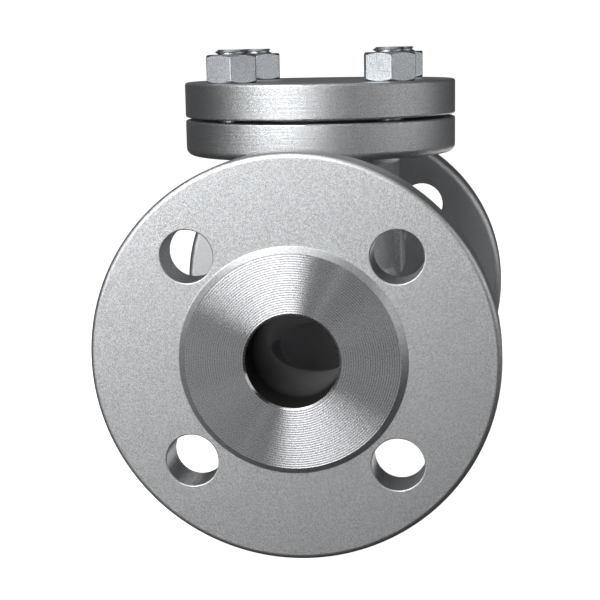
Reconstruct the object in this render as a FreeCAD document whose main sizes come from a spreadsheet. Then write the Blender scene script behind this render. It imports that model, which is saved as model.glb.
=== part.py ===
import FreeCAD, Part
import math
import os

import Sketcher

# A flanged lift non-return valve, DN 32. Millimetres.
# The flow runs along Y, the inlet flange is at -Y, and the cover is on top at +Z.
# Every piece is drawn about the flow axis and then raised to its height above the underside of the
# end flanges, so the origin is under the middle of the valve.

# Driving sizes: name, value, meaning. A level is a height above the flow axis.
SIZES = (
    ("face_to_face", 180, "length over the two raised faces"),
    ("bore", 32, "bore of the two ends"),
    ("bore_edge", 0.7, "chamfer at the mouth of the bore"),
    ("flange_diameter", 140, "end flange outside"),
    ("flange_thickness", 16, "end flange without its raised face"),
    ("flange_front_round", 1.2, "rounding of the end flange's front rim"),
    ("flange_back_round", 3, "rounding of its back rim, left as cast"),
    ("face_land", 2, "flat left between raised face and bolt holes"),
    ("raised_face_height", 2, "raised face height"),
    ("raised_flank", 2.2, "width of the raised face's sloped side"),
    ("raised_foot", 0.5, "fillet at the foot of that side"),
    ("bolt_margin", 20, "from the pitch circle of the line bolts to the flange's rim"),
    ("bolt_hole", 18, "hole for a line bolt"),
    ("bolt_hole_edge", 0.5, "rounding at both ends of a bolt hole"),
    ("bolt_count", 4, "line bolts in one end flange"),
    ("duct_wall", 6, "wall of the ducts round the bore"),
    ("duct_fillet", 6, "fillet between duct and end flange"),
    ("bulb_margin", 5.6, "how much further the round middle reaches than the neck"),
    ("bulb_blend", 12, "hollow curve between middle and duct"),
    ("neck_wall", 5.9, "wall of the neck round the chamber"),
    ("neck_fillet", 4, "fillets at the foot and the head of the neck"),
    ("pad_width", 20, "raised bare pad on the neck, along the flow"),
    ("pad_bottom", 18, "level of the pad's lower edge"),
    ("pad_top", 45, "level of the pad's upper edge"),
    ("pad_rise", 1.6, "how far the pad stands out of the neck"),
    ("pad_round", 1.2, "rounding of the pad's edges"),
    ("cover_land", 10.8, "from the studs' circle to the rim of body flange and bonnet"),
    ("body_flange_top", 77, "level of the body flange's top face"),
    ("body_flange_thickness", 13.3, "body flange"),
    ("body_flange_round", 3, "rounding of the body flange's lower rim"),
    ("body_flange_edge", 0.7, "rounding of the body flange's upper rim"),
    ("gasket_ledge", 7.5, "from the chamber to the rim of the recess for gasket and spigot"),
    ("recess_depth", 3, "depth of that recess"),
    ("disc_room", 4.5, "room between disc and chamber"),
    ("chamber_step", 2.5, "how much narrower the chamber is at the seat wall"),
    ("chamber_taper", 6, "height over which the chamber widens"),
    ("sill", 8, "level of the seat wall's upper side"),
    ("port_land", 2, "from the seat ring's lip in to the port"),
    ("seat_land", 3, "from the seat ring's lip out to its pocket"),
    ("seat_pocket_depth", 4, "depth of that pocket"),
    ("bowl_margin", 2.5, "how much wider the round bowl is than the port over it"),
    ("bowl_drop", 9.5, "depth of the bowl's centre under the flow axis"),
    ("passage_inset", 1, "how much narrower the two passages are than the bowl, on the radius"),
    ("inlet_bend", 46, "where the inlet passage starts to fall, from the middle"),
    ("inlet_waist", 30, "place of its narrow part"),
    ("inlet_waist_height", 22, "height of its narrow part"),
    ("inlet_waist_drop", 6, "fall of its narrow part"),
    ("inlet_end", 4, "place of its end in the bowl"),
    ("inlet_end_height", 21, "height of its end in the bowl"),
    ("inlet_end_drop", 13, "fall of its end in the bowl"),
    ("outlet_bend", 44, "where the outlet passage is level again, from the middle"),
    ("outlet_waist", 31, "place of its narrow part"),
    ("outlet_waist_height", 25.5, "height of its narrow part"),
    ("outlet_waist_rise", 4.75, "rise of its narrow part"),
    ("outlet_root", 5.5, "how far inside the chamber's wall it starts"),
    ("outlet_start_height", 22, "height of its start in the chamber"),
    ("seat_gasket_thickness", 1, "gasket under the seat ring"),
    ("seat_ring_height", 7, "seat ring"),
    ("seat_lip_inset", 1.2, "from the soft ring's rim in to the middle of the seat's lip"),
    ("seat_lip_width", 2, "flat width of that lip"),
    ("seat_lip_height", 1.5, "height of that lip"),
    ("disc_diameter", 40, "disc outside"),
    ("disc_plate", 6.2, "thickness of the disc's plate at its rim"),
    ("disc_edge", 1, "chamfers on the disc's rim"),
    ("disc_rim", 1.8, "rim of the disc round the soft ring"),
    ("seal_thickness", 3, "soft ring"),
    ("seal_proud", 0.8, "how far the soft ring stands out of the disc"),
    ("hub_room", 4, "from the stop hub out to the middle of the spring's wire"),
    ("hub_edge", 1, "chamfer on the stop hub"),
    ("hub_fillet", 1.5, "fillet at the foot of the stop hub"),
    ("hub_land", 4, "from the guide spindle out to the rim of the stop hub"),
    ("spindle_length", 25, "guide spindle above the stop hub"),
    ("spindle_edge", 1, "chamfer on the spindle's end"),
    ("spigot_diameter", 8, "threaded spigot under the disc"),
    ("spigot_proud", 1.5, "spigot past the retainer nut"),
    ("spigot_edge", 0.8, "chamfer on the spigot's end"),
    ("lift", 9, "lift of the disc"),
    ("stop_clearance", 0.1, "air left between hub and boss at full lift"),
    ("retainer_room", 1.5, "room between clamping washer and port"),
    ("retainer_thickness", 3, "clamping washer"),
    ("retainer_edge", 1, "chamfer on the clamping washer"),
    ("lock_washer_diameter", 14.4, "split washer outside"),
    ("lock_washer_thickness", 2, "split washer"),
    ("lock_washer_slit", 1, "slit in the split washer"),
    ("retainer_nut_flats", 13, "retainer nut across flats"),
    ("retainer_nut_height", 6.5, "retainer nut"),
    ("spring_wire", 1.6, "spring wire"),
    ("spring_inset", 5, "from the disc's rim in to the middle of the spring's wire"),
    ("spring_turns", 5, "working turns of the spring"),
    ("cover_gap", 1.2, "gap between body flange and bonnet"),
    ("bonnet_thickness", 13, "bonnet"),
    ("bonnet_top_round", 1, "rounding of the bonnet's upper rim"),
    ("bonnet_lower_edge", 0.7, "rounding of the bonnet's lower rim"),
    ("bonnet_hole_room", 0.75, "air on the radius round a stud in the bonnet"),
    ("boss_margin", 2, "how far the boss reaches out past the middle of the spring's wire"),
    ("boss_fillet", 3, "fillet at the root of the boss"),
    ("boss_step", 28.2, "from the bonnet's underside to the spring's seat"),
    ("boss_wall", 2.5, "wall of the boss round the bush"),
    ("boss_length", 36.2, "from the bonnet's underside to the boss's end"),
    ("guide_spare", 6, "room above the spindle at full lift"),
    ("guide_relief", 0.5, "how much wider the blind hole is than the spindle, on the radius"),
    ("vent_hole", 3, "cross hole that lets the guide breathe"),
    ("vent_drop", 3, "from the end of the blind hole to the cross hole"),
    ("bush_wall", 3, "wall of the guide bush"),
    ("bush_length", 24, "guide bush"),
    ("bush_edge", 0.5, "chamfers on the guide bush"),
    ("gasket_setback", 1, "from the chamber out to the gasket"),
    ("gasket_thickness", 2, "bonnet gasket"),
    ("stud_land", 3, "from the recess out to a stud"),
    ("stud_diameter", 12, "stud thread outside"),
    ("stud_end_edge", 1, "chamfer on a stud's ends"),
    ("stud_setback", 1, "stud's lower end inside the tapped hole"),
    ("stud_proud", 1.8, "stud past its nut"),
    ("nut_flats", 18, "cover nut across flats"),
    ("nut_height", 10.4, "cover nut"),
    ("nut_sink", 0.5, "countersink at both ends of a nut's thread"),
    ("thread_clearance", 0.05, "air on the radius between stud or spigot and its hole"),
    ("running_clearance", 0.05, "air on the radius between spindle and bush"),
    ("seat_clearance", 0.03, "air on the radius between a seated ring and its pocket"),
)

# Radii, levels and places that follow from the driving sizes. The disc sets the radii round it.
DISC = "(dims.disc_diameter / 2)"
SEAL = f"({DISC} - dims.disc_rim)"
LIP = f"({SEAL} - dims.seat_lip_inset)"
PORT = f"({LIP} - dims.port_land)"
POCKET = f"({LIP} + dims.seat_land)"
RETAINER = f"({PORT} - dims.retainer_room)"
BOWL = f"({PORT} + dims.bowl_margin)"
PASSAGE_WIDTH = f"(2 * ({BOWL} - dims.passage_inset))"
CHAMBER = f"({DISC} + dims.disc_room)"
CHAMBER_FOOT = f"({CHAMBER} - dims.chamber_step)"
OUTLET_START = f"({CHAMBER} - dims.outlet_root)"
NECK = f"({CHAMBER} + dims.neck_wall)"
BULB = f"({NECK} + dims.bulb_margin)"
RECESS = f"({CHAMBER} + dims.gasket_ledge)"
GASKET_HOLE = f"({CHAMBER} + dims.gasket_setback)"
STUD_CIRCLE = f"({RECESS} + dims.stud_land + dims.stud_diameter / 2)"
STUD_SPOT = f"{STUD_CIRCLE} / sqrt(2)"
COVER = f"({STUD_CIRCLE} + dims.cover_land)"
SPRING = f"({DISC} - dims.spring_inset)"
HUB = f"({SPRING} - dims.hub_room)"
SPINDLE = f"({HUB} - dims.hub_land)"
BUSH = f"({SPINDLE} + dims.bush_wall)"
BOSS_TIP = f"({BUSH} + dims.boss_wall)"
BOSS = f"({SPRING} + dims.boss_margin)"
DUCT = "(dims.bore / 2 + dims.duct_wall)"
AXIS = "dims.flange_diameter / 2"
BOLT_CIRCLE = f"({AXIS} - dims.bolt_margin)"
BOLT_SPOT = f"{BOLT_CIRCLE} / sqrt(2)"
RAISED_FACE = f"({BOLT_CIRCLE} - dims.bolt_hole / 2 - dims.face_land)"
RAISED_FLAT = f"({RAISED_FACE} - dims.raised_flank)"
FACE = "(dims.face_to_face / 2)"
FLANGE_FRONT = f"({FACE} - dims.raised_face_height)"
FLANGE_BACK = f"({FLANGE_FRONT} - dims.flange_thickness)"
UNDERSIDE = "(dims.body_flange_top + dims.cover_gap)"
BONNET_TOP = f"({UNDERSIDE} + dims.bonnet_thickness)"
RECESS_FLOOR = "(dims.body_flange_top - dims.recess_depth)"
GASKET_TOP = f"({RECESS_FLOOR} + dims.gasket_thickness)"
POCKET_FLOOR = "(dims.sill - dims.seat_pocket_depth)"
SEAT_FOOT = f"({POCKET_FLOOR} + dims.seat_gasket_thickness)"
SEAT = f"({SEAT_FOOT} + dims.seat_ring_height)"
SEAL_TOP = f"({SEAT} + dims.seal_thickness)"
RIM = f"({SEAT} + dims.seal_proud)"
PLATE_TOP = f"({RIM} + dims.disc_plate)"
BOSS_END = f"({UNDERSIDE} - dims.boss_length)"
BOSS_STEP = f"({UNDERSIDE} - dims.boss_step)"
HUB_TOP = f"({BOSS_END} - dims.lift - dims.stop_clearance)"
SPINDLE_TOP = f"({HUB_TOP} + dims.spindle_length)"
GUIDE_END = f"({SPINDLE_TOP} + dims.lift + dims.guide_spare)"
RETAINER_FOOT = f"({SEAT} - dims.retainer_thickness)"
WASHER_FOOT = f"({RETAINER_FOOT} - dims.lock_washer_thickness)"
RETAINER_NUT_FOOT = f"({WASHER_FOOT} - dims.retainer_nut_height)"
SPIGOT_END = f"({RETAINER_NUT_FOOT} - dims.spigot_proud)"
TAPPED_RADIUS = "(dims.stud_diameter / 2 + dims.thread_clearance)"
SPIGOT_HOLE_RADIUS = "(dims.spigot_diameter / 2 + dims.thread_clearance)"
BUSH_BORE_RADIUS = f"({SPINDLE} + dims.running_clearance)"
STUD_FOOT = "(dims.body_flange_top - dims.body_flange_thickness + dims.stud_setback)"
NUT_TOP = f"({BONNET_TOP} + dims.nut_height)"

# Where each stud stands, as signs along X and Y, and how far its nut is turned, in degrees.
STUDS = ((-1, -1, 38), (1, -1, 38), (1, 1, 33), (-1, 1, 38))
# A nut's 30 degree chamfers leave a round face this share of its size across flats.
NUT_FACE_SHARE = 0.95
NUT_SLOPE = 30
# Sides of the spring wire's section.
WIRE_SIDES = 8
# Shares along an edge where its place is looked at, how near counts as there, and the least volume
# that a cut takes away.
EDGE_SHARES = (0.2, 0.5, 0.8)
NEAR = 0.01
LEAST_CHANGE = 1e-3


def write_sheet(doc):
    """The sheet of driving sizes, one row each."""
    sheet = doc.addObject("Spreadsheet::Sheet", "dims")
    for row, (name, value, meaning) in enumerate(SIZES, start=1):
        sheet.set(f"A{row}", meaning)
        sheet.set(f"B{row}", str(value))
        sheet.setAlias(f"B{row}", name)
    doc.recompute()


def number(owner, text):
    """What an expression comes to now."""
    value = owner.evalExpression(text)
    return float(getattr(value, "Value", value))


def origin_feature(body, role):
    """One plane or axis of a body's own origin."""
    return next(item for item in body.Origin.OriginFeatures if item.Role == role)


def new_body(doc, name, raised=True):
    """An empty body; a raised one is lifted so that its own zero lies on the flow axis."""
    body = doc.addObject("PartDesign::Body", name)
    body.Label = name
    if raised:
        body.setExpression("Placement.Base.z", AXIS)
    return body


def new_sketch(body, name, role, offset=None):
    """An empty sketch on one of the body's own planes, or at an offset from it."""
    sketch = body.newObject("Sketcher::SketchObject", name)
    sketch.AttachmentSupport = [(origin_feature(body, role), "")]
    sketch.MapMode = "FlatFace"
    if offset:
        sketch.setExpression("AttachmentOffset.Base.z", offset)
    return sketch


def arc_between(start, end, radius, side):
    """The short arc from start to end with its centre on the left (1) or the right (-1)."""
    chord = end - start
    left = FreeCAD.Vector(-chord.y, chord.x, 0).normalize()
    reach = math.sqrt(max(radius**2 - (chord.Length / 2) ** 2, 0))
    centre = (start + end) * 0.5 + left * (side * reach)
    first, last = (start, end) if side > 0 else (end, start)
    angles = [math.atan2(spot.y - centre.y, spot.x - centre.x) for spot in (first, last)]
    if angles[1] <= angles[0]:
        angles[1] += 2 * math.pi
    circle = Part.Circle(centre, FreeCAD.Vector(0, 0, 1), radius)
    return Part.ArcOfCircle(circle, angles[0], angles[1])


def hold(sketch, kind, name, text, *places):
    """A sketch dimension that follows an expression."""
    index = sketch.addConstraint(Sketcher.Constraint(kind, *places, number(sketch, text)))
    sketch.renameConstraint(index, name)
    sketch.setExpression(f"Constraints.{name}", text)


def draw_outline(sketch, corners):
    """A closed outline through corners given as expressions: (x, y), or (x, y, radius, side) where
    the stretch to the next corner is an arc with its centre on the left (1) or the right (-1)."""
    spots = [FreeCAD.Vector(number(sketch, c[0]), number(sketch, c[1]), 0) for c in corners]
    first = sketch.GeometryCount
    ends = []
    for index, corner in enumerate(corners):
        start, end = spots[index], spots[(index + 1) % len(corners)]
        if len(corner) == 2:
            sketch.addGeometry(Part.LineSegment(start, end), False)
            ends.append((1, 2))
        else:
            radius, side = corner[2:]
            sketch.addGeometry(arc_between(start, end, number(sketch, radius), side), False)
            ends.append((1, 2) if side > 0 else (2, 1))
    for index, corner in enumerate(corners):
        after = (index + 1) % len(corners)
        sketch.addConstraint(
            Sketcher.Constraint("Coincident", first + index, ends[index][1], first + after, ends[after][0])
        )
        if len(corner) == 4:
            hold(sketch, "Radius", f"round_{first + index}", corner[2], first + index)
    for index, corner in enumerate(corners):
        place = (-1, 1, first + index, ends[index][0])
        hold(sketch, "DistanceX", f"across_{first + index}", corner[0], *place)
        hold(sketch, "DistanceY", f"along_{first + index}", corner[1], *place)


def draw_circle(sketch, across, along, radius):
    """A circle given by expressions."""
    centre = FreeCAD.Vector(number(sketch, across), number(sketch, along), 0)
    circle = Part.Circle(centre, FreeCAD.Vector(0, 0, 1), number(sketch, radius))
    index = sketch.addGeometry(circle, False)
    hold(sketch, "Radius", f"round_{index}", radius, index)
    hold(sketch, "DistanceX", f"across_{index}", across, -1, 1, index, 3)
    hold(sketch, "DistanceY", f"along_{index}", along, -1, 1, index, 3)


def turn(body, name, corners, role="XZ_Plane", axis="V_Axis", kind="Revolution"):
    """A turned solid, or a turned space (Groove): an outline swung about the sketch's upright (V) or
    level (H) axis."""
    sketch = new_sketch(body, f"{name}_outline", role)
    draw_outline(sketch, corners)
    solid = body.newObject(f"PartDesign::{kind}", name)
    solid.Profile = sketch
    solid.ReferenceAxis = (sketch, [axis])
    solid.Angle = 360
    return solid


def drill(body, name, sketch, depth=None, back=False):
    """A pocket from a sketch, right through where no depth is given."""
    pocket = body.newObject("PartDesign::Pocket", name)
    pocket.Profile = sketch
    pocket.Reversed = back
    if depth:
        pocket.Type = "Length"
        pocket.setExpression("Length", depth)
    else:
        pocket.Type = "ThroughAll"
        pocket.Midplane = True
    return pocket


def repeat(body, name, feature, axis, count):
    """A feature repeated evenly round one of the body's axes."""
    body.Document.recompute()
    pattern = body.newObject("PartDesign::PolarPattern", name)
    pattern.Originals = [feature]
    pattern.Axis = (origin_feature(body, axis), [""])
    pattern.Angle = 360
    pattern.setExpression("Occurrences", count)
    body.Tip = pattern
    return pattern


def soften(body, name, kind, size, chosen):
    """A fillet or chamfer on the edges of the body so far that pass a test."""
    body.Document.recompute()
    base = body.Tip
    edges = [f"Edge{n}" for n, edge in enumerate(base.Shape.Edges, start=1) if chosen(edge)]
    if not edges:
        raise RuntimeError(f"{name}: no edge to soften")
    feature = body.newObject(f"PartDesign::{kind}", name)
    feature.Base = (base, edges)
    key = "Radius" if kind == "Fillet" else "Size"
    feature.setExpression(key, size)
    return feature


def primitive(doc, kind, name, place=(), **sizes):
    """A Part primitive with its sizes and place bound to expressions."""
    solid = doc.addObject(f"Part::{kind}", name)
    for key, text in sizes.items():
        solid.setExpression(key, text)
    for axis, text in place:
        solid.setExpression(f"Placement.Base.{axis}", text)
    return solid


def end_flange_side(side):
    """Outline of one end of the body from its face to its duct at -Y (-1), or back from its duct to its
    face at +Y (1)."""
    rim = "dims.flange_diameter / 2"
    front, back = "dims.flange_front_round", "dims.flange_back_round"
    corners = [
        (FACE, "0"),
        (FACE, RAISED_FLAT),
        (FLANGE_FRONT, RAISED_FACE),
        (FLANGE_FRONT, f"{rim} - {front}", front, -1),
        (f"{FLANGE_FRONT} - {front}", rim),
        (f"{FLANGE_BACK} + {back}", rim, back, -1),
        (FLANGE_BACK, f"{rim} - {back}"),
        (FLANGE_BACK, f"{DUCT} + dims.duct_fillet", "dims.duct_fillet", 1),
        (f"{FLANGE_BACK} - dims.duct_fillet", DUCT),
    ]
    if side > 0:
        arcs = [()] + [corner[2:] for corner in corners[:-1]]
        corners = [corner[:2] + arc for corner, arc in zip(corners, arcs)][::-1]
    return [(f"{side} * ({along})", *rest) for along, *rest in corners]


def barrel_corners():
    """Outline of the casting about the flow axis: both ends, their ducts and the round middle."""
    reach = f"({BULB} + dims.bulb_blend)"
    height = f"({DUCT} + dims.bulb_blend)"
    blend_start = f"sqrt({reach} ^ 2 - {height} ^ 2)"
    touch = f"{blend_start} * {BULB} / {reach}"
    touch_height = f"{height} * {BULB} / {reach}"
    middle = [
        (f"-1 * {blend_start}", DUCT, "dims.bulb_blend", 1),
        (f"-1 * {touch}", touch_height, BULB, -1),
        (touch, touch_height, "dims.bulb_blend", 1),
        (blend_start, DUCT),
    ]
    return end_flange_side(-1) + middle + end_flange_side(1)


def neck_corners():
    """Outline of the neck and the body flange about the upright axis."""
    foot = "(dims.body_flange_top - dims.body_flange_thickness)"
    return [
        ("0", "0"),
        (NECK, "0"),
        (NECK, f"{foot} - dims.neck_fillet", "dims.neck_fillet", -1),
        (f"{NECK} + dims.neck_fillet", foot),
        (f"{COVER} - dims.body_flange_round", foot, "dims.body_flange_round", 1),
        (COVER, f"{foot} + dims.body_flange_round"),
        (COVER, "dims.body_flange_top - dims.body_flange_edge", "dims.body_flange_edge", 1),
        (f"{COVER} - dims.body_flange_edge", "dims.body_flange_top"),
        ("0", "dims.body_flange_top"),
    ]


def on_neck_foot(edge, neck, bulb):
    """Is this edge part of the crease where the neck grows out of the round middle and the ducts?"""
    low, high = edge.ParameterRange
    spots = [edge.valueAt(low + (high - low) * share) for share in EDGE_SHARES]
    return all(abs(math.hypot(spot.x, spot.y) - neck) < NEAR and 0 < spot.z < bulb for spot in spots)


def on_circle(edge, radius, offset):
    """Is this edge a circle of this radius, with its centre at this offset from the flow axis?"""
    curve = edge.Curve
    if curve.TypeId != "Part::GeomCircle" or abs(curve.Radius - radius) > NEAR:
        return False
    return abs(math.hypot(curve.Center.x, curve.Center.z) - offset) < NEAR


def casting(doc):
    """The body before its two passages are cored: cast outside, drilled flanges and turned spaces."""
    body = new_body(doc, "casting", raised=False)
    turn(body, "barrel", barrel_corners(), "YZ_Plane", "H_Axis")
    turn(body, "neck", neck_corners())
    raised_face = number(body, RAISED_FACE)
    soften(body, "raised_foot", "Fillet", "dims.raised_foot",
           lambda edge: on_circle(edge, raised_face, 0))
    neck, bulb = number(body, NECK), number(body, BULB)
    soften(body, "neck_foot", "Fillet", "dims.neck_fillet", lambda edge: on_neck_foot(edge, neck, bulb))
    raise_pad(body)
    for name, back in (("inlet", False), ("outlet", True)):
        sign = "" if name == "inlet" else "-1 * "
        sketch = new_sketch(body, f"{name}_bolt_place", "XZ_Plane", f"{sign}{FLANGE_FRONT}")
        draw_circle(sketch, BOLT_SPOT, BOLT_SPOT, "dims.bolt_hole / 2")
        hole = drill(body, f"{name}_bolt_hole", sketch, "dims.flange_thickness", back)
        repeat(body, f"{name}_bolt_holes", hole, "Y_Axis", "dims.bolt_count")
    hole, circle = number(body, "dims.bolt_hole / 2"), number(body, BOLT_CIRCLE)
    soften(body, "bolt_hole_edges", "Fillet", "dims.bolt_hole_edge",
           lambda edge: on_circle(edge, hole, circle))
    bore_casting(body)
    return body


def raise_pad(body):
    """The raised bare pad on the right side of the neck, rooted as deep as the neck's wall."""
    pad_plane = f"({NECK} + dims.pad_rise)"
    sketch = new_sketch(body, "pad_outline", "YZ_Plane", pad_plane)
    half = "dims.pad_width / 2"
    draw_outline(sketch, [
        (f"-1 * {half}", "dims.pad_bottom"),
        (half, "dims.pad_bottom"),
        (half, "dims.pad_top"),
        (f"-1 * {half}", "dims.pad_top"),
    ])
    pad = body.newObject("PartDesign::Pad", "pad")
    pad.Profile = sketch
    pad.Reversed = True
    pad.setExpression("Length", f"{pad_plane} - {CHAMBER}")
    face = number(body, pad_plane)
    soften(body, "pad_edges", "Fillet", "dims.pad_round",
           lambda edge: all(abs(vertex.X - face) < NEAR for vertex in edge.Vertexes))


def bore_corners(side):
    """Outline of one end's straight bore with the chamfer at its mouth, at +Y (1) or -Y (-1)."""
    bend = "dims.outlet_bend" if side > 0 else "dims.inlet_bend"
    corners = [
        (bend, "0"),
        (FACE, "0"),
        (FACE, "dims.bore / 2 + dims.bore_edge"),
        (f"{FACE} - dims.bore_edge", "dims.bore / 2"),
        (bend, "dims.bore / 2"),
    ]
    return [(f"{side} * ({along})", across) for along, across in corners]


def chamber_corners():
    """Outline of the spaces on the upright axis: bowl, port, seat pocket, chamber and recess."""
    return [
        ("0", f"-1 * dims.bowl_drop - {BOWL}", BOWL, 1),
        (PORT, f"sqrt({BOWL} ^ 2 - {PORT} ^ 2) - dims.bowl_drop"),
        (PORT, POCKET_FLOOR),
        (POCKET, POCKET_FLOOR),
        (POCKET, "dims.sill"),
        (CHAMBER_FOOT, "dims.sill"),
        (CHAMBER, "dims.sill + dims.chamber_taper"),
        (CHAMBER, RECESS_FLOOR),
        (RECESS, RECESS_FLOOR),
        (RECESS, "dims.body_flange_top"),
        ("0", "dims.body_flange_top"),
    ]


def bore_casting(body):
    """The turned spaces in the casting and the four tapped holes for the studs."""
    turn(body, "inlet_bore", bore_corners(-1), "YZ_Plane", "H_Axis", "Groove")
    turn(body, "outlet_bore", bore_corners(1), "YZ_Plane", "H_Axis", "Groove")
    turn(body, "chamber", chamber_corners(), kind="Groove")
    sketch = new_sketch(body, "tapped_hole_place", "XY_Plane", "dims.body_flange_top")
    draw_circle(sketch, STUD_SPOT, STUD_SPOT, TAPPED_RADIUS)
    hole = drill(body, "tapped_hole", sketch, "dims.body_flange_thickness")
    repeat(body, "tapped_holes", hole, "Z_Axis", str(len(STUDS)))


def section(doc, name, along, across, height, level):
    """An upright ellipse or circle across the flow."""
    ellipse = doc.addObject("Part::Ellipse", name)
    ellipse.Placement.Rotation = FreeCAD.Rotation(FreeCAD.Vector(1, 0, 0), 90)
    ellipse.setExpression("MajorRadius", f"({across}) / 2")
    ellipse.setExpression("MinorRadius", f"({height}) / 2")
    ellipse.setExpression("Placement.Base.y", along)
    ellipse.setExpression("Placement.Base.z", level)
    return ellipse


def passage(doc, name, stations):
    """A smooth passage through a row of upright sections."""
    sections = [section(doc, f"{name}_{n}", *station) for n, station in enumerate(stations, start=1)]
    loft = doc.addObject("Part::Loft", name)
    loft.Sections = sections
    loft.Solid = True
    return loft


def inlet_passage(doc):
    """From the inlet bore down into the bowl under the seat."""
    return passage(doc, "inlet_passage", (
        ("-1 * dims.inlet_bend", "dims.bore", "dims.bore", "0"),
        ("-1 * dims.inlet_waist", PASSAGE_WIDTH, "dims.inlet_waist_height",
         "-1 * dims.inlet_waist_drop"),
        ("-1 * dims.inlet_end", PASSAGE_WIDTH, "dims.inlet_end_height", "-1 * dims.inlet_end_drop"),
    ))


def outlet_passage(doc):
    """From the chamber above the seat down to the outlet bore. It starts level, half-way out to the
    chamber's wall."""
    rise = "dims.sill + dims.outlet_start_height / 2"
    start = (PASSAGE_WIDTH, "dims.outlet_start_height", rise)
    return passage(doc, "outlet_passage", (
        (f"{OUTLET_START} / 2", *start),
        (OUTLET_START, *start),
        ("dims.outlet_waist", PASSAGE_WIDTH, "dims.outlet_waist_height", "dims.outlet_waist_rise"),
        ("dims.outlet_bend", "dims.bore", "dims.bore", "0"),
    ))


def cut(doc, name, base, tool):
    """One solid less another, as a piece of its own."""
    piece = doc.addObject("Part::Cut", name)
    piece.Label = name
    piece.Base = base
    piece.Tool = tool
    return piece


def valve_body(doc):
    """The cast body, bored, with its seat wall left between bowl and chamber."""
    bored = cut(doc, "body_with_inlet", casting(doc), inlet_passage(doc))
    piece = cut(doc, "valve_body", bored, outlet_passage(doc))
    piece.setExpression("Placement.Base.z", AXIS)
    return piece


def flat_ring(doc, name, outer, inner, thickness, level):
    """A flat ring at a level above the flow axis."""
    place = (("z", f"{AXIS} + {level}"),)
    disc = primitive(doc, "Cylinder", f"{name}_blank", place, Radius=outer, Height=thickness)
    hole = primitive(doc, "Cylinder", f"{name}_hole", place, Radius=inner, Height=thickness)
    return cut(doc, name, disc, hole)


def seat_ring(doc):
    """The turned seat ring with its raised lip, rounded at its entry."""
    body = new_body(doc, "seat_ring")
    outer = f"{POCKET} - dims.seat_clearance"
    half = "dims.seat_lip_width / 2"
    shoulder = f"{SEAT} - dims.seat_lip_height"
    turn(body, "ring", [
        (PORT, SEAT_FOOT),
        (outer, SEAT_FOOT),
        (outer, shoulder),
        (f"{LIP} + {half} + dims.seat_lip_height / 2", shoulder),
        (f"{LIP} + {half}", SEAT),
        (f"{LIP} - {half}", SEAT),
        (PORT, f"{SEAT} - ({LIP} - {half} - {PORT})"),
    ])
    return body


def disc(doc):
    """The turned closing piece: spigot, recess for the soft ring, plate, stop hub and spindle."""
    body = new_body(doc, "disc")
    edge = "dims.disc_edge"
    spigot = "dims.spigot_diameter / 2"
    holder = f"({SEAL} + dims.seat_clearance)"
    turn(body, "closing_piece", [
        ("0", SPIGOT_END),
        (f"{spigot} - dims.spigot_edge", SPIGOT_END),
        (spigot, f"{SPIGOT_END} + dims.spigot_edge"),
        (spigot, SEAL_TOP),
        (holder, SEAL_TOP),
        (holder, RIM),
        (f"{DISC} - {edge}", RIM),
        (DISC, f"{RIM} + {edge}"),
        (DISC, f"{PLATE_TOP} - {edge}"),
        (f"{DISC} - {edge}", PLATE_TOP),
        (f"{HUB} + dims.hub_fillet", PLATE_TOP, "dims.hub_fillet", -1),
        (HUB, f"{PLATE_TOP} + dims.hub_fillet"),
        (HUB, f"{HUB_TOP} - dims.hub_edge"),
        (f"{HUB} - dims.hub_edge", HUB_TOP),
        (SPINDLE, HUB_TOP),
        (SPINDLE, f"{SPINDLE_TOP} - dims.spindle_edge"),
        (f"{SPINDLE} - dims.spindle_edge", SPINDLE_TOP),
        ("0", SPINDLE_TOP),
    ])
    return body


def seal_retainer(doc):
    """The clamping washer under the soft ring, chamfered towards the flow."""
    body = new_body(doc, "seal_retainer")
    turn(body, "washer", [
        (SPIGOT_HOLE_RADIUS, RETAINER_FOOT),
        (f"{RETAINER} - dims.retainer_edge", RETAINER_FOOT),
        (RETAINER, f"{RETAINER_FOOT} + dims.retainer_edge"),
        (RETAINER, SEAT),
        (SPIGOT_HOLE_RADIUS, SEAT),
    ])
    return body


def lock_washer(doc):
    """The split washer between retainer and nut."""
    ring = flat_ring(doc, "lock_washer_ring", "dims.lock_washer_diameter / 2", SPIGOT_HOLE_RADIUS,
                     "dims.lock_washer_thickness", WASHER_FOOT)
    place = (("y", "-1 * dims.lock_washer_slit / 2"), ("z", f"{AXIS} + {WASHER_FOOT}"))
    slit = primitive(doc, "Box", "lock_washer_gap", place, Length="dims.lock_washer_diameter",
                     Width="dims.lock_washer_slit", Height="dims.lock_washer_thickness")
    return cut(doc, "lock_washer", ring, slit)


def hexagon(flats):
    """Corners of a hexagon by its size across flats, one corner along +X."""
    reach = f"{flats} / sqrt(3)"
    half = f"{reach} / 2"
    side = f"{flats} / 2"
    return [
        (reach, "0"),
        (half, side),
        (f"-1 * {half}", side),
        (f"-1 * {reach}", "0"),
        (f"-1 * {half}", f"-1 * {side}"),
        (half, f"-1 * {side}"),
    ]


def hex_nut(doc, name, flats, height, hole):
    """A hexagon nut standing on its own zero: turned with its chamfers, then milled six-sided."""
    body = new_body(doc, name, raised=False)
    corner = f"({flats} / sqrt(3))"
    face = f"({NUT_FACE_SHARE} * {flats} / 2)"
    drop = f"(({corner} - {face}) * tan({NUT_SLOPE}))"
    sink = "dims.nut_sink"
    turn(body, f"{name}_blank", [
        (hole, sink),
        (f"{hole} + {sink}", "0"),
        (face, "0"),
        (corner, drop),
        (corner, f"{height} - {drop}"),
        (face, height),
        (f"{hole} + {sink}", height),
        (hole, f"{height} - {sink}"),
    ])
    sketch = new_sketch(body, f"{name}_flats", "XY_Plane")
    draw_outline(sketch, hexagon(flats))
    draw_circle(sketch, "0", "0", flats)
    drill(body, f"{name}_milling", sketch)
    return body


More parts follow.
